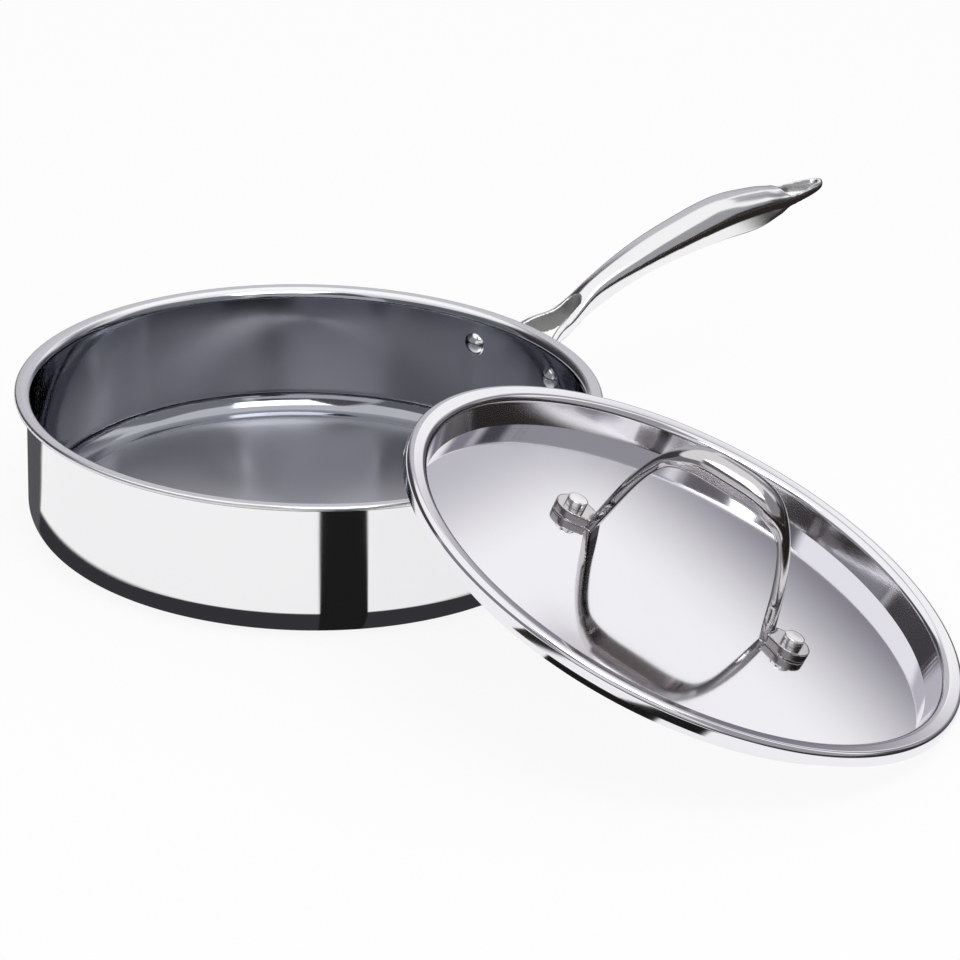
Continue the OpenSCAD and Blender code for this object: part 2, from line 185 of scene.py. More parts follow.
def clamp01(k):
    return min(1.0, max(0.0, k))


def half_circle():
    """Angles over the crown of a handle, from one side to the other."""
    return [math.pi * i / CROWN_STEPS for i in range(CROWN_STEPS + 1)]


def direction(turn, rise):
    """Unit vector at a turn from +X and a rise from level, in degrees."""
    a, e = math.radians(turn), math.radians(rise)
    return Vector((math.cos(a) * math.cos(e), math.sin(a) * math.cos(e), math.sin(e)))


def turn_about(axis, degrees):
    return Matrix.Rotation(math.radians(degrees), 4, axis)


def arc(cx, cy, r, start, end, steps):
    """Points of an arc in degrees."""
    turns = [math.radians(mix(start, end, i / steps)) for i in range(steps + 1)]
    return [(cx + r * math.cos(t), cy + r * math.sin(t)) for t in turns]


def link(obj):
    bpy.context.scene.collection.objects.link(obj)
    return obj


def mesh_object(name, verts, faces):
    """A mesh object from points in millimetres."""
    mesh = bpy.data.meshes.new(name)
    mesh.from_pydata([Vector(v) * MM for v in verts], [], faces)
    mesh.update()
    return link(bpy.data.objects.new(name, mesh))


def shade(obj, angle=SHARP_ANGLE):
    """Outward normals and smooth shading, with edges over that angle kept sharp."""
    bm = bmesh.new()
    bm.from_mesh(obj.data)
    bmesh.ops.remove_doubles(bm, verts=bm.verts, dist=1e-7)
    bmesh.ops.recalc_face_normals(bm, faces=bm.faces)
    limit = math.radians(angle)
    for e in bm.edges:
        e.smooth = len(e.link_faces) != 2 or e.calc_face_angle(0) < limit
    for f in bm.faces:
        f.smooth = True
    bm.to_mesh(obj.data)
    bm.free()
    return obj


def revolve(name, outline, steps=REVOLVE_STEPS, angle=SHARP_ANGLE):
    """A solid about Z, from an outline of (radius, height) that starts and ends on the axis."""
    rings = outline[1:-1]
    verts = [(0, 0, outline[0][1])]
    for r, z in rings:
        for i in range(steps):
            t = 2 * math.pi * i / steps
            verts.append((r * math.cos(t), r * math.sin(t), z))
    verts.append((0, 0, outline[-1][1]))
    last = len(verts) - 1
    faces = []
    for i in range(steps):
        j = (i + 1) % steps
        faces.append((0, 1 + i, 1 + j))
        faces.append((last, last - steps + j, last - steps + i))
        for k in range(len(rings) - 1):
            a = 1 + k * steps
            faces.append((a + i, a + steps + i, a + steps + j, a + j))
    return shade(mesh_object(name, verts, faces), angle)


def loft(name, rings):
    """A closed skin over rings that all have the same number of points."""
    n = len(rings[0])
    verts = [p for ring in rings for p in ring]
    faces = [tuple(range(n)), tuple((len(rings) - 1) * n + i for i in reversed(range(n)))]
    for k in range(len(rings) - 1):
        for i in range(n):
            j = (i + 1) % n
            faces.append((k * n + i, k * n + j, (k + 1) * n + j, (k + 1) * n + i))
    return shade(mesh_object(name, verts, faces))


def prism(name, outline, low, high):
    """A vertical prism over an outline of (x, y)."""
    n = len(outline)
    verts = [(x, y, low) for x, y in outline] + [(x, y, high) for x, y in outline]
    faces = [tuple(range(n)), tuple(n + i for i in range(n))]
    faces += [(i, (i + 1) % n, n + (i + 1) % n, n + i) for i in range(n)]
    return shade(mesh_object(name, verts, faces))


def spread_out(outline, distance):
    """The same closed outline, moved outwards from its middle line along its normals."""
    points = []
    for i in range(len(outline)):
        a, b = Vector(outline[i - 1]), Vector(outline[(i + 1) % len(outline)])
        d = (b - a).normalized()
        points.append((outline[i][0] + distance * d.y, outline[i][1] - distance * d.x))
    return points


def flared_prism(name, outline, levels):
    """A vertical cutter over an outline, spread by an amount given at each height."""
    n = len(outline)
    verts = [(x, y, z) for z, distance in levels for x, y in spread_out(outline, distance)]
    faces = [tuple(range(n)), tuple((len(levels) - 1) * n + i for i in range(n))]
    for k in range(len(levels) - 1):
        low, high = k * n, (k + 1) * n
        faces += [(low + i, low + (i + 1) % n, high + (i + 1) % n, high + i) for i in range(n)]
    return shade(mesh_object(name, verts, faces))


def settle(obj):
    """Replaces the object's mesh by what its modifiers make of it."""
    bpy.context.view_layer.update()
    made = bpy.data.meshes.new_from_object(obj.evaluated_get(bpy.context.evaluated_depsgraph_get()))
    obj.modifiers.clear()
    obj.data = made


def cut(obj, cutter, operation="DIFFERENCE"):
    """Applies a boolean with another object and deletes that object."""
    modifier = obj.modifiers.new("cut", "BOOLEAN")
    modifier.object = cutter
    modifier.operation = operation
    modifier.solver = "EXACT"
    settle(obj)
    bpy.data.objects.remove(cutter)


def soften(obj, voxel):
    """Rounds a boolean solid's edges as a polished casting has them."""
    remesh = obj.modifiers.new("remesh", "REMESH")
    remesh.mode = "VOXEL"
    remesh.voxel_size = voxel * MM
    smooth = obj.modifiers.new("smooth", "SMOOTH")
    smooth.factor = SMOOTH_SHARE
    smooth.iterations = SMOOTH_ROUNDS
    settle(obj)
    shade(obj, CASTING_ANGLE)


# Pan
def sheet_line(depth):
    """Section of the pan's sheet at a depth under its inner face, from the axis to the rim."""
    floor_r = WALL_IN - CORNER_R
    low, high = SHEET_T + CORNER_R, PAN_HEIGHT - FLARE_R
    points = [(0, SHEET_T - depth)]
    points += [(floor_r * i / 6, SHEET_T - depth) for i in range(1, 6)]
    points += arc(floor_r, low, CORNER_R + depth, -90, 0, 20)
    points += [(WALL_IN + depth, mix(low, high, i / 4)) for i in (1, 2, 3)]
    points += arc(MOUTH_R, high, FLARE_R - depth, 180, 90, 16)
    return points


def layer_outline(a, b):
    """Closed section of one layer, with its share of the rim's round edge."""
    start = math.degrees(math.asin((EDGE_R - a) / EDGE_R))
    end = math.degrees(math.asin((EDGE_R - b) / EDGE_R))
    edge = arc(RIM_R - EDGE_R, PAN_HEIGHT - EDGE_R, EDGE_R, start, end, 8)
    return sheet_line(a) + edge + sheet_line(b)[::-1]


# Long handle
def smooth_row(x, column):
    """Smooth curve through one column of the handle's rows."""
    t = HANDLE_ROWS
    last = len(t) - 1

    def slope(i):
        a, b = max(0, i - 1), min(last, i + 1)
        return (t[b][column] - t[a][column]) / (t[b][0] - t[a][0])

    i = next((i for i in range(last) if x <= t[i + 1][0]), last - 1)
    w = t[i + 1][0] - t[i][0]
    k = (x - t[i][0]) / w
    return ((2 * k**3 - 3 * k**2 + 1) * t[i][column] + (k**3 - 2 * k**2 + k) * w * slope(i)
            + (3 * k**2 - 2 * k**3) * t[i + 1][column] + (k**3 - k**2) * w * slope(i + 1))


def tip_shape(k):
    """The share of its width that the handle has: all of it up to the round tip."""
    if k < TIP_ROUND:
        return 1.0
    return math.sqrt(1 - ((k - TIP_ROUND) / (1 - TIP_ROUND) * math.sin(TIP_TURN)) ** 2)


def handle_half(k):
    """Half width of the handle at a share of its length: the fork draws in to the neck."""
    fork_extra = (FORK_W - NECK_W) * (1 - math.sin(math.pi / 2 * clamp01(k / FORK_BLEND)))
    return (GRIP_W * smooth_row(k, 3) + fork_extra) * tip_shape(k) / 2


def handle_ring(k):
    """One ring of the long handle: crowned on top, with side edges and a narrow belly."""
    x = ROOT_R + k * HANDLE_L
    w = handle_half(k)
    z = PAN_HEIGHT + HANDLE_RISE * smooth_row(k, 1)
    d = GRIP_DEPTH * smooth_row(k, 2)
    c = GRIP_CROWN * smooth_row(k, 4) * mix(TIP_CROWN, 1, tip_shape(k))
    e = min(SIDE_EDGE, d / 3)
    b, f = w * BELLY_W, w * BELLY_FLAT_W
    crown = [(x, w * math.cos(t), z + c * math.sin(t)) for t in half_circle()]
    belly = [(-w, -e), (-b, -d * BELLY_SIDE), (-f, -d), (f, -d), (b, -d * BELLY_SIDE), (w, -e)]
    return crown + [(x, y, z + dz) for y, dz in belly]


def fork_outline():
    """The opening between the legs of the fork, seen from above."""
    end_x = RIM_R + FORK_REACH - FORK_END_R
    side = []
    for i in range(25):
        s = i / 24
        x = mix(ROOT_R - FORK_START, end_x, s)
        wide = max(FORK_END_R, handle_half(max(0, (x - ROOT_R) / HANDLE_L)) - LEG_T)
        side.append((x, mix(wide, FORK_END_R, s**FORK_POWER)))
    return [(x, -y) for x, y in side] + arc(end_x, 0, FORK_END_R, -90, 90, 24)[1:-1] + side[::-1]


def hull(points):
    """Convex outline of points in the plane."""
    points = sorted(set((round(x, 6), round(y, 6)) for x, y in points))

    def chain(items):
        out = []
        for p in items:
            while len(out) > 1 and ((out[-1][0] - out[-2][0]) * (p[1] - out[-2][1])
                                    - (out[-1][1] - out[-2][1]) * (p[0] - out[-2][0])) <= 0:
                out.pop()
            out.append(p)
        return out[:-1]

    return chain(points) + chain(points[::-1])


def eye_outline():
    """The hanging eye, seen from above: straight at the grip and pointed at the tip."""
    start = TIP_R - EYE_TIP_WALL - EYE_L
    corner_y = EYE_W / 2 - EYE_CORNER_R
    points = arc(start + EYE_L - EYE_END_R, 0, EYE_END_R, 0, 360, 32)
    for side in (-1, 1):
        points += arc(start + EYE_CORNER_R, side * corner_y, EYE_CORNER_R, 0, 360, 32)
        points += arc(start + EYE_L * EYE_BEND_X, side * EYE_W * EYE_BEND_Y, EYE_BEND_R, 0, 360, 32)
    return hull(points)


def saddle_ring(turn, low, high):
    """One upright ring of the saddle plate, at a turn about the pan's axis."""
    inner, outer = WALL_OUT, WALL_OUT + SADDLE_T
    corners = ((inner, low), (outer, low), (outer, high), (inner, high))
    return [(r * math.cos(turn), r * math.sin(turn), z) for r, z in corners]


def saddle(name):
    """Plate on the wall under the rim, with round ends about the rivets."""
    end_turn = math.asin(SADDLE_H / 2 / WALL_OUT)
    rings = []
    for i in range(-60, 61):
        turn = (RIVET_TURN + end_turn) * math.sin(math.pi / 2 * i / 60.5)
        beyond = clamp01((abs(turn) - RIVET_TURN) / end_turn)
        half = SADDLE_H / 2 * math.sqrt(1 - beyond**2)
        rings.append(saddle_ring(turn, SADDLE_MIDDLE - half, SADDLE_MIDDLE + half))
    return loft(name, rings)


def eye_cutter(top):
    """What the eye is cut with: it widens below and above a short straight part."""
    low = PAN_HEIGHT + HANDLE_RISE
    flare = EYE_FLARE * (top - low - EYE_STRAIGHT)
    levels = [(low - EYE_UNDER, EYE_DRAFT), (low, 0), (low + EYE_STRAIGHT, 0), (top, flare)]
    return flared_prism("eye_cutter", eye_outline(), levels)


def wall_cutter():
    """The pan's wall below its rim, with as many sides as the wall has."""
    circle = arc(0, 0, WALL_OUT, 0, 360 - 360 / REVOLVE_STEPS, REVOLVE_STEPS - 1)
    return prism("wall_cutter", circle, 0, PAN_HEIGHT - 0.5)


def make_pan_handle():
    tip_end = math.sin(TIP_TURN)
    stations = [TIP_ROUND * i / 150 for i in range(151)]
    stations += [mix(TIP_ROUND, 1, math.sin(TIP_TURN * i / 16) / tip_end) for i in range(1, 17)]
    handle = loft("pan_handle_casting", [handle_ring(k) for k in stations])
    top = PAN_HEIGHT + HANDLE_RISE + GRIP_CROWN + 10
    cut(handle, saddle("saddle_cutter"), "UNION")
    cut(handle, prism("fork_cutter", fork_outline(), PAN_HEIGHT - 2 * SADDLE_H, top))
    cut(handle, eye_cutter(top))
    cut(handle, wall_cutter())
    soften(handle, HANDLE_VOXEL)
    mark_cast(handle)
    return handle


def distance_to(outline, points):
    """Least distance from each point to a closed outline in the plane."""
    a = np.array(outline)
    b = np.roll(a, -1, axis=0)
    best = np.full(len(points), 1e9)
    for p, q in zip(a, b):
        d = q - p
        t = np.clip(((points - p) @ d) / max(d @ d, 1e-12), 0, 1)
        best = np.minimum(best, np.linalg.norm(points - (p + t[:, None] * d), axis=1))
    return best


def mark_cast(obj):
    """Marks the fork's as-cast inner faces, and half as much the eye's, as the attribute cast."""
    co = np.array([v.co for v in obj.data.vertices]) / MM
    upright = 1 - np.abs(np.array([v.normal.z for v in obj.data.vertices]))
    in_fork, in_eye = [np.clip((CAST_REACH - distance_to(outline, co[:, :2])) / CAST_FADE, 0, 1)
                       for outline in (fork_outline(), eye_outline())]
    side = np.clip((upright - CAST_UPRIGHT) / CAST_UPRIGHT_FADE, 0, 1)
    cast = np.maximum(in_fork, EYE_CAST * in_eye) * side
    attribute = obj.data.attributes.new("cast", "FLOAT", "POINT")
    attribute.data.foreach_set("value", cast.astype(np.float32))


# Lid
def lid_line():
    """Section of the lid's upper face, from its middle to the end of its lip."""
    panel = [(PANEL_R * i / 24, -DISH_DEPTH + PANEL_CROWN * (1 - (i / 24) ** 2)) for i in range(25)]
    shoulder = arc(DISH_R + SHOULDER_R, -BEAD_RISE - SHOULDER_R, SHOULDER_R, SHOULDER_FROM, 90, 14)
    bead = arc(LID_R - BEAD_R, -BEAD_R, BEAD_R, BEAD_FROM, 0, 16)
    return panel + shoulder + bead + [(LID_R, -LIP_H)]


def offset_line(line, distance):
    """The same line a distance below or inside, with its first point kept on the axis."""
    points = []
    for i in range(len(line)):
        a, b = Vector(line[max(0, i - 1)]), Vector(line[min(len(line) - 1, i + 1)])
        d = (b - a).normalized()
        points.append((line[i][0] + distance * d.y, line[i][1] - distance * d.x))
    points[0] = (0, line[0][1] - distance)
    return points


def lid_pose():
    """Where the lid lies: its middle at the flange's top, its axis and its handle's heading."""
    lean = turn_about("Z", LEAN_DIR) @ turn_about("Y", LID_TILT)
    return Matrix.Translation(Vector(LID_CENTRE) * MM) @ lean @ turn_about("Z", ARCH_TURN)


LID_POSE = lid_pose()


def on_lid(obj):
    """Turns a piece from the lid's own frame into its leaning pose, in its mesh."""
    obj.data.transform(LID_POSE)
    obj.data.update()
    return obj


def bow(a, half, rise, power):
    """Half span and height of the arch's outer or inner edge at an angle round it."""
    h = max(0.0, math.sin(a)) ** (2 / power)
    span = (half - LEG_LEAN * h) * abs(math.cos(a)) ** (2 / power)
    return (math.copysign(span, math.cos(a)), rise * h)


def arch_half(a, h):
    """Half width of the arch: a broad foot, a narrow leg and a grip that swells to the middle."""
    if h < FOOT_H:
        return mix(FOOT_W, ARCH_LEG_W, ease(h / FOOT_H)) / 2
    swell = ease(clamp01((math.sin(a) - GRIP_FROM) / (1 - GRIP_FROM)))
    return mix(ARCH_LEG_W, ARCH_GRIP_W, swell) / 2


def arch_ring(a):
    """One ring of the lid's handle: rounded outside, edges at the sides and flat inside."""
    o = bow(a, ARCH_W / 2, ARCH_H, OUTER_POWER)
    n = bow(a, ARCH_W / 2 - LEG_DEPTH, ARCH_H - ARCH_DEPTH, INNER_POWER)
    w = arch_half(a, o[1])
    spots = [(w * math.cos(t), RING_EDGE * (1 - math.sin(t))) for t in half_circle()]
    spots += [(-w, INNER_EDGE), (-w * INNER_W, 1), (w * INNER_W, 1), (w, INNER_EDGE)]
    return [(mix(o[0], n[0], k), y, PAD_Z + mix(o[1], n[1], k)) for y, k in spots]


def pad_outline(side):
    """A pad about its rivet, seen from above, drawn out to meet the foot of the arch."""
    foot_x = ARCH_W / 2 - LEG_DEPTH + FOOT_W / 2
    points = arc(side * LID_RIVET_GAP / 2, 0, PAD_W / 2, 0, 360, 64)
    points += arc(side * foot_x, 0, FOOT_W / 2, 0, 360, 64)
    return hull(points)


def mark_underside_shade(obj):
    """Marks painted shade on the arch's flat inner face, and less so its sides, as the attribute
    underside.
    """
    attribute = obj.data.attributes.new("underside", "FLOAT", "POINT")
    middle = Vector((0, 0, PAD_Z + ARCH_H / 3)) * MM
    for v in obj.data.vertices:
        inwards = (middle - v.co).normalized().dot(v.normal)
        on_arch = clamp01((inwards - UNDERSIDE_FROM) / UNDERSIDE_SPAN)
        on_pad = PAD_MARK * (1 - abs(v.normal.z))
        above_pad = clamp01(v.co.z / MM - PAD_Z - PAD_T)
        attribute.data[v.index].value = mix(on_pad, on_arch, above_pad)


def make_lid_handle():
    half = 90
    turns = [math.pi / 2 * (i / half) ** RING_SPREAD for i in range(half + 1)]
    turns = [math.pi - t for t in turns] + turns[-2::-1]
    arch = loft("lid_handle_casting", [arch_ring(t) for t in turns])
    for side in (-1, 1):
        pad = prism("pad_cutter", pad_outline(side), PAD_Z + PAD_LIFT, PAD_Z + PAD_T)
        cut(arch, pad, "UNION")
    soften(arch, ARCH_VOXEL)
    mark_underside_shade(arch)
    return on_lid(arch)


# Rivets
def dome_outline(grip):
    """Half section of a pan rivet: its head's seat is at height 0 and its domed head below it."""
    ball = (PAN_HEAD_R**2 + PAN_HEAD_H**2) / (2 * PAN_HEAD_H)
    reach = math.degrees(math.asin(PAN_HEAD_R / ball))
    head = arc(0, ball - PAN_HEAD_H, ball, -90, -90 + reach, 14)
    head[-1] = (PAN_HEAD_R, -PAN_HEAD_EDGE)
    head += [(PAN_HEAD_R, PAN_HEAD_SINK), (PAN_SHANK_R, PAN_HEAD_SINK), (PAN_SHANK_R, grip)]
    tail = arc(0, grip, PAN_TAIL_R, 0, 90, 8)
    return head + [(r, grip + (z - grip) * PAN_TAIL_H / PAN_TAIL_R) for r, z in tail]


def flat_outline(grip):
    """Half section of a lid rivet: its head is a low cylinder with a soft bevel round its top."""
    r, h, bevel = LID_HEAD_R, LID_HEAD_H, LID_HEAD_BEVEL
    head = [(0, -h), (r * 0.5, -h), (r - bevel * 1.6, -h * LID_HEAD_CROWN)]
    head += arc(r - bevel, bevel - h, bevel, -70, 0, 6)
    head += [(r, -LID_FOOT_H), (r - LID_FOOT_IN, 0)]
    tail = [(LID_SHANK_R, 0), (LID_SHANK_R, grip), (r, grip)]
    return head + tail + [(r * LID_TAIL_TAPER, grip + LID_TAIL_H), (0, grip + LID_TAIL_H)]


def make_pan_rivet(name, side):
    rivet = revolve(name, dome_outline(SHEET_T + SADDLE_T), RIVET_STEPS, RIVET_ANGLE)
    seat = Matrix.Translation(Vector((WALL_IN, 0, SADDLE_MIDDLE)) * MM)
    rivet.data.transform(Matrix.Rotation(side * RIVET_TURN, 4, "Z") @ seat @ turn_about("Y", 90))
    return rivet


def make_lid_rivet(name, side):
    rivet = revolve(name, flat_outline(LID_T + PAD_T + LID_TAIL_GAP), RIVET_STEPS, RIVET_ANGLE)
    seat = Matrix.Translation(Vector((side * LID_RIVET_GAP / 2, 0, PAD_Z + PAD_T)) * MM)
    rivet.data.transform(LID_POSE @ seat @ turn_about("X", 180))
    return rivet


# Materials
STEEL_COLOR = (0.88, 0.88, 0.89)
LID_COLOR = (0.86, 0.85, 0.885)
ARCH_COLOR = (0.64, 0.62, 0.63)
# Painted shade on the inner face of the lid handle's arch and on the sides of its pads
UNDERSIDE_SHADE_COLOR = (0.10, 0.085, 0.08)
CAST_COLOR = (0.44, 0.44, 0.43)
CORE_COLOR = (0.80, 0.80, 0.81)
RIM_COLOR = (0.93, 0.93, 0.95)
# The inner wall's dark grey is a painted dark reflection
WALL_DARK_REFLECTION_COLOR = (0.42, 0.43, 0.47)
PAN_FLOOR_COLOR = (0.62, 0.62, 0.65)
MIRROR_ROUGH, LID_ROUGH, RIVET_ROUGH, ARCH_ROUGH = 0.045, 0.05, 0.08, 0.07
HANDLE_ROUGH, CAST_ROUGH, CORE_ROUGH = 0.13, 0.62, 0.22
RIM_ROUGH, WALL_ROUGH, PAN_FLOOR_ROUGH = 0.16, 0.065, 0.33

# Smudges: the noise that counts, and how much rougher the roughest smudge is
SMUDGE_SCALE, SMUDGE_LOW, SMUDGE_HIGH = 14, 0.35, 0.75
SMUDGE_TIMES, SMUDGE_PLUS = 1.7, 0.01

# Fine relief: how closely it repeats, how strongly it shows and its depth in metres
GRAIN_SCALE, CORE_GRAIN, GRAIN_DEPTH = 900, 0.3, 0.0003
PIT_SCALE, PIT_STRENGTH, PIT_DEPTH = 1400, 0.9, 0.0004
BRUSH_LINES, BRUSH_ARCS, BRUSH_STRETCH = 1500, 5, 0.7
WALL_LINES, FLOOR_LINES, LINE_DEPTH = 0.10, 0.5, 0.0001

# Where the pan's inside changes its finish and the wall's painted dark reflection ends: distances
# beyond the floor's edge, then beyond the wall
FLOOR_END, FLOOR_FULL, RIM_START, RIM_FULL = 1.0, -0.6, 0.6, 2.0


def new_material(name):
    material = bpy.data.materials.new(name)
    material.use_nodes = True
    nodes = material.node_tree.nodes
    return material, nodes, material.node_tree.links, nodes["Principled BSDF"]


def math_node(nodes, links, operation, a, b=None):
    """A math node over sockets or numbers."""
    node = nodes.new("ShaderNodeMath")
    node.operation = operation
    for i, value in enumerate((a, b)):
        if value is None:
            continue
        if isinstance(value, (int, float)):
            node.inputs[i].default_value = value
        else:
            links.new(value, node.inputs[i])
    return node.outputs[0]


def step_between(nodes, links, value, low, high):
    """0 below low, 1 above high and a ramp in between; low may be the greater of the two."""
    ramp = nodes.new("ShaderNodeMapRange")
    ramp.inputs["From Min"].default_value = low
    ramp.inputs["From Max"].default_value = high
    links.new(value, ramp.inputs["Value"])
    return ramp.outputs["Result"]


def blend_values(nodes, links, factor, a, b):
    """The value a where the factor is 0 and b where it is 1; a may be a socket."""
    ramp = nodes.new("ShaderNodeMapRange")
    ramp.inputs["To Max"].default_value = b
    if isinstance(a, (int, float)):
        ramp.inputs["To Min"].default_value = a
    else:
        links.new(a, ramp.inputs["To Min"])
    links.new(factor, ramp.inputs["Value"])
    return ramp.outputs["Result"]


def blend_colors(nodes, links, factor, a, b):
    """The colour a where the factor is 0 and b where it is 1; a may be a socket."""
    tint = nodes.new("ShaderNodeMix")
    tint.data_type = "RGBA"
    tint.inputs["B"].default_value = (*b, 1)
    if isinstance(a, tuple):
        tint.inputs["A"].default_value = (*a, 1)
    else:
        links.new(a, tint.inputs["A"])
    links.new(factor, tint.inputs["Factor"])
    return tint.outputs["Result"]


def noise(nodes, links, vector, scale, detail):
    texture = nodes.new("ShaderNodeTexNoise")
    texture.inputs["Scale"].default_value = scale
    texture.inputs["Detail"].default_value = detail
    links.new(vector, texture.inputs["Vector"])
    return texture.outputs["Fac"]


def bump(nodes, links, shader, height, strength, distance):
    """Bends the shader's normals by a height in metres; the strength may be a socket."""
    node = nodes.new("ShaderNodeBump")
    node.inputs["Distance"].default_value = distance
    if isinstance(strength, (int, float)):
        node.inputs["Strength"].default_value = strength
    else:
        links.new(strength, node.inputs["Strength"])
    links.new(height, node.inputs["Height"])
    links.new(node.outputs["Normal"], shader.inputs["Normal"])


def steel(name, color, roughness, grain=0.0):
    """Polished metal: faint smudges in the roughness and, where asked, a fine grain."""
    material, nodes, links, shader = new_material(name)
    shader.inputs["Metallic"].default_value = 1.0
    shader.inputs["Base Color"].default_value = (*color, 1)
    place = nodes.new("ShaderNodeTexCoord").outputs["Object"]
    spread = nodes.new("ShaderNodeMapRange")
    spread.inputs["From Min"].default_value = SMUDGE_LOW
    spread.inputs["From Max"].default_value = SMUDGE_HIGH
    spread.inputs["To Min"].default_value = roughness
    spread.inputs["To Max"].default_value = roughness * SMUDGE_TIMES + SMUDGE_PLUS
    links.new(noise(nodes, links, place, SMUDGE_SCALE, 5), spread.inputs["Value"])
    links.new(spread.outputs["Result"], shader.inputs["Roughness"])
    if grain:
        height = noise(nodes, links, place, GRAIN_SCALE, 4)
        bump(nodes, links, shader, height, grain, GRAIN_DEPTH)
    return material


def brush_lines(nodes, links, x, y, z, radius):
    """Long thin streaks that run round the Z axis."""
    safe = math_node(nodes, links, "MAXIMUM", radius, 0.001)
    along = math_node(nodes, links, "ADD", radius, z)
    join = nodes.new("ShaderNodeCombineXYZ")
    links.new(math_node(nodes, links, "MULTIPLY", along, BRUSH_LINES), join.inputs[0])
    for i, axis in ((1, x), (2, y)):
        share = math_node(nodes, links, "DIVIDE", axis, safe)
        links.new(math_node(nodes, links, "MULTIPLY", share, BRUSH_ARCS), join.inputs[i])
    return noise(nodes, links, join.outputs[0], 1, 3)


def inside_steel():
    """The pan's inside: a floor brushed in circles, a satin wall with level lines and a painted
    dark reflection, a bright rim.
    """
    material, nodes, links, shader = new_material("brushed_inside")
    shader.inputs["Metallic"].default_value = 1.0
    shader.inputs["Anisotropic"].default_value = BRUSH_STRETCH
    split = nodes.new("ShaderNodeSeparateXYZ")
    links.new(nodes.new("ShaderNodeTexCoord").outputs["Object"], split.inputs[0])
    x, y, z = split.outputs
    squares = math_node(nodes, links, "ADD", math_node(nodes, links, "MULTIPLY", x, x),
                        math_node(nodes, links, "MULTIPLY", y, y))
    radius = math_node(nodes, links, "SQRT", squares)
    streaks = brush_lines(nodes, links, x, y, z, radius)
    edge = WALL_IN - CORNER_R
    on_floor = step_between(nodes, links, radius, (edge + FLOOR_END) * MM, (edge + FLOOR_FULL) * MM)
    rim_start, rim_full = (WALL_IN + RIM_START) * MM, (WALL_IN + RIM_FULL) * MM
    on_rim = step_between(nodes, links, radius, rim_start, rim_full)
    rough = blend_values(nodes, links, on_floor, WALL_ROUGH, PAN_FLOOR_ROUGH)
    rough = blend_values(nodes, links, on_rim, rough, RIM_ROUGH)
    links.new(rough, shader.inputs["Roughness"])
    # Painted dark reflection on the wall, giving way to the floor's and the rim's own colours
    color = blend_colors(nodes, links, on_floor, WALL_DARK_REFLECTION_COLOR, PAN_FLOOR_COLOR)
    color = blend_colors(nodes, links, on_rim, color, RIM_COLOR)
    links.new(color, shader.inputs["Base Color"])
    strength = blend_values(nodes, links, on_floor, WALL_LINES, FLOOR_LINES)
    bump(nodes, links, shader, streaks, strength, LINE_DEPTH)
    tangent = nodes.new("ShaderNodeTangent")
    tangent.direction_type = "RADIAL"
    tangent.axis = "Z"
    links.new(tangent.outputs[0], shader.inputs["Tangent"])
    return material


def marked(nodes, name):
    """How strongly a mesh is marked with a vertex attribute."""
    mark = nodes.new("ShaderNodeAttribute")
    mark.attribute_name = name
    return mark.outputs["Fac"]


def cast_steel():
    """Polished cast steel whose marked inner faces keep their grey, pitted casting skin."""
    material, nodes, links, shader = new_material("cast_steel")
    shader.inputs["Metallic"].default_value = 1.0
    mark = marked(nodes, "cast")
    color = blend_colors(nodes, links, mark, STEEL_COLOR, CAST_COLOR)
    links.new(color, shader.inputs["Base Color"])
    rough = blend_values(nodes, links, mark, HANDLE_ROUGH, CAST_ROUGH)
    links.new(rough, shader.inputs["Roughness"])
    pits = noise(nodes, links, nodes.new("ShaderNodeTexCoord").outputs["Object"], PIT_SCALE, 6)
    strength = math_node(nodes, links, "MULTIPLY", mark, PIT_STRENGTH)
    bump(nodes, links, shader, pits, strength, PIT_DEPTH)
    return material


def arch_steel():
    """The lid handle's steel, polished outside, with painted shade darkening the marked underside
    of the arch.
    """
    material = steel("lid_handle_steel", ARCH_COLOR, ARCH_ROUGH)
    nodes, links = material.node_tree.nodes, material.node_tree.links
    color = blend_colors(nodes, links, marked(nodes, "underside"), ARCH_COLOR, UNDERSIDE_SHADE_COLOR)
    links.new(color, nodes["Principled BSDF"].inputs["Base Color"])
    return material


def dress(obj, material, slot, body, *nodes):
    """Gives a piece its material and puts it in place of CAD nodes on a body; the slot is not used.
    """
    obj.data.materials.clear()
    obj.data.materials.append(material)
    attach(obj, body)
    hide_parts(*nodes)


mirror = steel("mirror_steel", STEEL_COLOR, MIRROR_ROUGH)
lid_mirror = steel("lid_mirror_steel", LID_COLOR, LID_ROUGH)
rivet_steel = steel("rivet_steel", STEEL_COLOR, RIVET_ROUGH)

dress(revolve("pan_inside", layer_outline(0, LINER_T)), inside_steel(),
      "pan_inside", "pan", "pan_liner")
dress(revolve("pan_outside", layer_outline(LINER_T + CORE_T, SHEET_T)), mirror,
      "pan_outside", "pan", "pan_skin")
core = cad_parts["pan_core"]
core.data.materials.clear()
core.data.materials.append(steel("core_aluminium", CORE_COLOR, CORE_ROUGH, CORE_GRAIN))
dress(make_pan_handle(), cast_steel(), "cast_handle", "pan", "pan_handle")
dress(make_pan_rivet("pan_rivet_a", 1), rivet_steel, "rivets", "pan", "pan_rivet_left")
dress(make_pan_rivet("pan_rivet_b", -1), rivet_steel, "rivets", "pan", "pan_rivet_right")

lid_section = lid_line()
lid_outline = lid_section + offset_line(lid_section, LID_T)[::-1]
dress(on_lid(revolve("lid_sheet", lid_outline)), lid_mirror, "lid_sheet", "lid", "lid_shell")
dress(make_lid_handle(), arch_steel(), "lid_handle", "lid", "lid_handle")
dress(make_lid_rivet("lid_rivet_a", -1), rivet_steel, "rivets", "lid", "lid_rivet_left")
dress(make_lid_rivet("lid_rivet_b", 1), rivet_steel, "rivets", "lid", "lid_rivet_right")


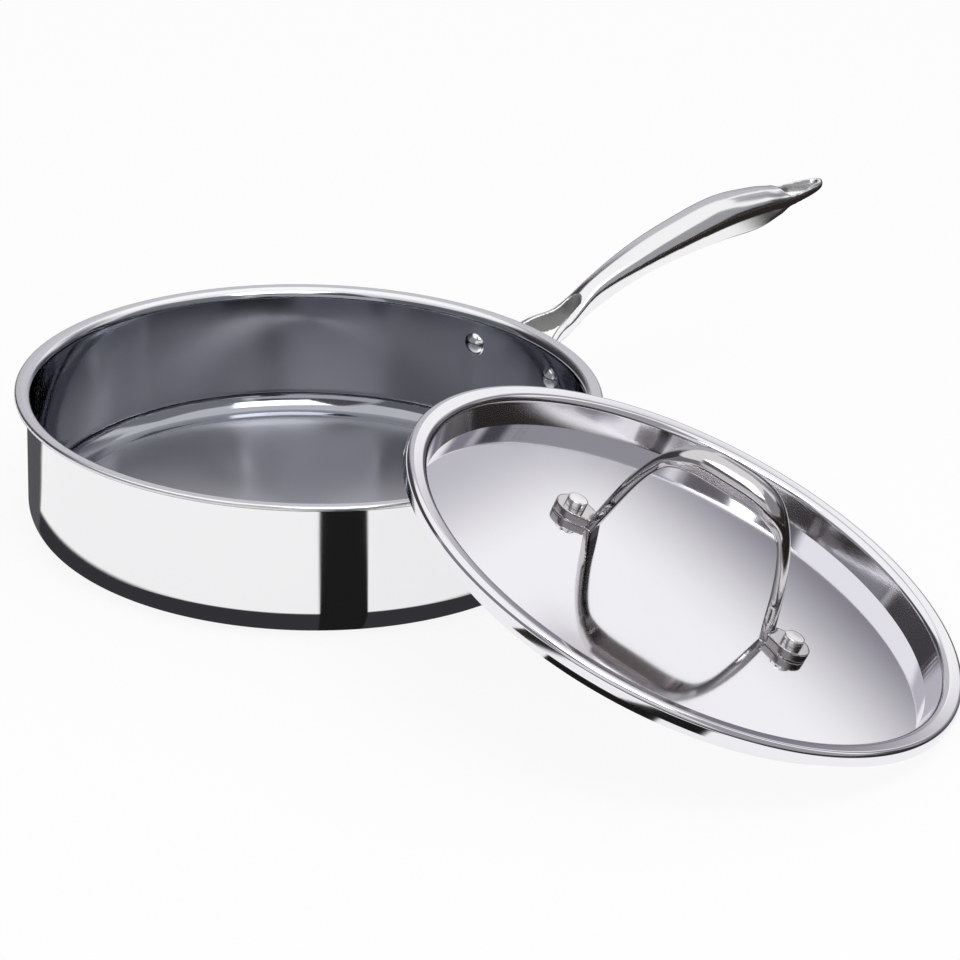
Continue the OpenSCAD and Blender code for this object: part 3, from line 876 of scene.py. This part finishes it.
# Stage
FLAG_MIDDLE = Vector((30, -110, 60))
FLAG_FAR, FLAG_STEPS = 2300, 24
FLOOR_SIZE, FLOOR_COLOR, FLOOR_GLOW = 12000, (0.9, 0.9, 0.9), 0.9
STRIP_LIFT, STRIP_STEPS = 0.6, 12
# Painted shadow under the pan: a dark disc on the floor that only reflections see
DISC_R, DISC_LIFT, DISC_STEPS = 153, 0.3, 96
SHADOW_DISC_COLOR, DISC_FADE = (0.035, 0.035, 0.04), 0.03
SKY_AS_LIGHT, SKY_AS_SEEN = 0.75, 1.0

# Flags round the object: name, turn and rise of its middle, its width and height, all in degrees,
# its grey, and the share of its half size over which it fades out
FLAGS = [
    ("flag_front", 228, 50, 66, 40, (0.14, 0.135, 0.145), 0.25),
    ("flag_front_low", 227, 20, 60, 26, (0.72, 0.72, 0.75), 0.08),
    ("flag_left", 164, 23, 70, 44, (0.22, 0.22, 0.24), 0.12),
    ("flag_back_left", 99, 24, 78, 46, (0.06, 0.055, 0.06), 0.35),
    ("flag_back", 52, 20, 52, 52, (0.56, 0.55, 0.59), 0.2),
    ("flag_back_middle", 22, 8, 44, 32, (0.20, 0.19, 0.23), 0.6),
    ("flag_back_high", 6, 38, 36, 20, (0.46, 0.45, 0.49), 0.3),
    ("flag_back_right", -4, 20, 30, 52, (0.26, 0.25, 0.29), 0.7),
    ("flag_right", 329, 10, 42, 34, (0.07, 0.07, 0.08), 0.5),
    ("flag_right_high", 295, 32, 74, 44, (0.34, 0.34, 0.36), 0.15),
    ("flag_horizon", 307, 3, 238, 26, (0.035, 0.03, 0.028), 0.8),
]

# Dark strips on the floor: name, its two long edges, its grey, and the share over which it fades
STRIPS = [
    ("strip_front",
     [(-70, -96), (-150, -212), (-250, -300)],
     [(-54, -108), (-89, -243), (-85, -430)],
     (0.012, 0.012, 0.012), 0.12),
    ("strip_left",
     [(-93, 82), (3, 197)],
     [(-118, 36), (-138, 185)],
     (0.09, 0.09, 0.10), 0.15),
    ("surround",
     [(-420, -120), (-330, -330), (-60, -470), (110, -372), (235, -270),
      (330, -150), (355, 0), (350, 150), (200, 330), (120, 350)],
     [(-2200, -600), (-1700, -1700), (-300, -2300), (650, -2200), (1650, -1650),
      (2100, -900), (2300, 0), (2100, 900), (1200, 2000), (780, 2200)],
     (0.025, 0.02, 0.019), 0.05),
]


def seen_or_mirrored(nodes, links):
    """1 for what the camera and reflections see, 0 for light on the object."""
    path = nodes.new("ShaderNodeLightPath").outputs
    return math_node(nodes, links, "MAXIMUM", path["Is Camera Ray"], path["Is Glossy Ray"])


def floor_material():
    """White to the camera and in reflections, and it still takes a faint shadow."""
    material, nodes, links, shader = new_material("floor_white")
    shader.inputs["Base Color"].default_value = (*FLOOR_COLOR, 1)
    shader.inputs["Roughness"].default_value = 0.9
    shader.inputs["Specular IOR Level"].default_value = 0.1
    glow = nodes.new("ShaderNodeEmission")
    blend = nodes.new("ShaderNodeMixShader")
    seen = seen_or_mirrored(nodes, links)
    links.new(math_node(nodes, links, "MULTIPLY", seen, FLOOR_GLOW), blend.inputs["Fac"])
    links.new(shader.outputs[0], blend.inputs[1])
    links.new(glow.outputs[0], blend.inputs[2])
    links.new(blend.outputs[0], nodes["Material Output"].inputs["Surface"])
    return material


def flag_material(name, color, soft):
    """A grey that fades out towards the edge of its flag, over the given share of its half size."""
    material, nodes, links, shader = new_material(name)
    nodes.remove(shader)
    fade = nodes.new("ShaderNodeMapRange")
    fade.interpolation_type = "SMOOTHSTEP"
    fade.inputs["From Max"].default_value = soft
    links.new(marked(nodes, "inside"), fade.inputs["Value"])
    clear = nodes.new("ShaderNodeBsdfTransparent")
    glow = nodes.new("ShaderNodeEmission")
    glow.inputs["Color"].default_value = (*color, 1)
    blend = nodes.new("ShaderNodeMixShader")
    links.new(fade.outputs["Result"], blend.inputs["Fac"])
    links.new(clear.outputs[0], blend.inputs[1])
    links.new(glow.outputs[0], blend.inputs[2])
    links.new(blend.outputs[0], nodes["Material Output"].inputs["Surface"])
    return material


def hang(obj, color, soft, inside):
    """Makes a mesh a flag that only reflections see; inside gives each point 0 at the edge to 1."""
    layer = obj.data.attributes.new("inside", "FLOAT", "POINT")
    for i, v in enumerate(inside):
        layer.data[i].value = v
    obj.data.materials.append(flag_material(obj.name, color, soft))
    obj.visible_camera = False
    obj.visible_diffuse = False
    obj.visible_shadow = False


def grid_corners(rows, columns):
    """First corner of each face in rows of columns + 1 points."""
    return [i * (columns + 1) + j for i in range(rows) for j in range(columns)]


def flag(name, turn, rise, wide, high, color, soft):
    """A flag round the object, given by the directions that it covers, in degrees."""
    verts, inside = [], []
    for i in range(FLAG_STEPS + 1):
        for j in range(FLAG_STEPS + 1):
            u, v = 2 * i / FLAG_STEPS - 1, 2 * j / FLAG_STEPS - 1
            ray = direction(turn + u * wide / 2, rise + v * high / 2)
            verts.append(FLAG_MIDDLE + FLAG_FAR * ray)
            inside.append(min(1 - abs(u), 1 - abs(v)))
    n = FLAG_STEPS + 1
    faces = [(c, c + n, c + n + 1, c + 1) for c in grid_corners(FLAG_STEPS, FLAG_STEPS)]
    hang(mesh_object(name, verts, faces), color, soft, inside)


def floor_strip(name, left, right, color, soft):
    """A dark strip on the floor between two lines that have the same number of points."""
    verts, inside = [], []
    for a, b in zip(left, right):
        for k in range(STRIP_STEPS + 1):
            t = k / STRIP_STEPS
            verts.append((mix(a[0], b[0], t), mix(a[1], b[1], t), STRIP_LIFT))
            inside.append(1 - abs(2 * t - 1))
    n = STRIP_STEPS + 1
    faces = [(c, c + 1, c + n + 1, c + n) for c in grid_corners(len(left) - 1, STRIP_STEPS)]
    hang(mesh_object(name, verts, faces), color, soft, inside)


def shadow_disc(name, r, color, soft):
    """A dark round flag on the floor under the pan: painted shadow there, that only reflections
    see.
    """
    rings = [0.001, r * (1 - soft), r]
    n = DISC_STEPS
    turns = [2 * math.pi * i / n for i in range(n)]
    verts = [(ring * math.cos(t), ring * math.sin(t), DISC_LIFT) for ring in rings for t in turns]
    inside = [1 - ring / r for ring in rings for t in turns]
    faces = [(k * n + i, k * n + (i + 1) % n, (k + 1) * n + (i + 1) % n, (k + 1) * n + i)
             for k in range(len(rings) - 1) for i in range(n)]
    hang(mesh_object(name, verts, faces), color, soft, inside)


def make_floor():
    signs = ((-1, -1), (1, -1), (1, 1), (-1, 1))
    corners = [(x * FLOOR_SIZE, y * FLOOR_SIZE, 0) for x, y in signs]
    floor = mesh_object("floor", corners, [(0, 1, 2, 3)])
    floor.data.materials.append(floor_material())


def make_sky():
    """A white world, a little dimmer where it lights the object than where it is seen."""
    world = bpy.data.worlds.new("studio")
    bpy.context.scene.world = world
    world.use_nodes = True
    nodes, links = world.node_tree.nodes, world.node_tree.links
    nodes["Background"].inputs["Color"].default_value = (1, 1, 1, 1)
    seen = seen_or_mirrored(nodes, links)
    strength = blend_values(nodes, links, seen, SKY_AS_LIGHT, SKY_AS_SEEN)
    links.new(strength, nodes["Background"].inputs["Strength"])


make_floor()
for row in FLAGS:
    flag(*row)
for row in STRIPS:
    floor_strip(*row)
# Painted shadow under the pan, for reflections
shadow_disc("shadow_under_pan", DISC_R, SHADOW_DISC_COLOR, DISC_FADE)
make_sky()


def soft_light(name, place, target, size, power):
    data = bpy.data.lights.new(name, "AREA")
    data.shape = "SQUARE"
    data.size = size * MM
    data.energy = power
    light = link(bpy.data.objects.new(name, data))
    light.location = Vector(place) * MM
    light.rotation_mode = "QUATERNION"
    light.rotation_quaternion = (Vector(target) - Vector(place)).to_track_quat("-Z", "Y")


soft_light("key", place=(-300, -900, 1500), target=(0, -100, 0), size=900, power=8)

# Camera
camera_data = bpy.data.cameras.new("camera")
camera_data.lens = CAMERA_LENS
camera_data.sensor_width = SENSOR_WIDTH
camera_data.clip_start = 0.05
camera_data.clip_end = 100
camera = link(bpy.data.objects.new("camera", camera_data))
look = direction(CAMERA_HEADING, CAMERA_PITCH)
level = look.cross(Vector((0, 0, 1))).normalized()
right = Matrix.Rotation(math.radians(-CAMERA_ROLL), 3, look) @ level
up = right.cross(look)
axes = Matrix((right, up, -look)).transposed().to_4x4()
camera.matrix_world = Matrix.Translation(Vector(CAMERA_PLACE) * MM) @ axes
bpy.context.scene.camera = camera
bpy.context.scene.view_settings.view_transform = "Standard"
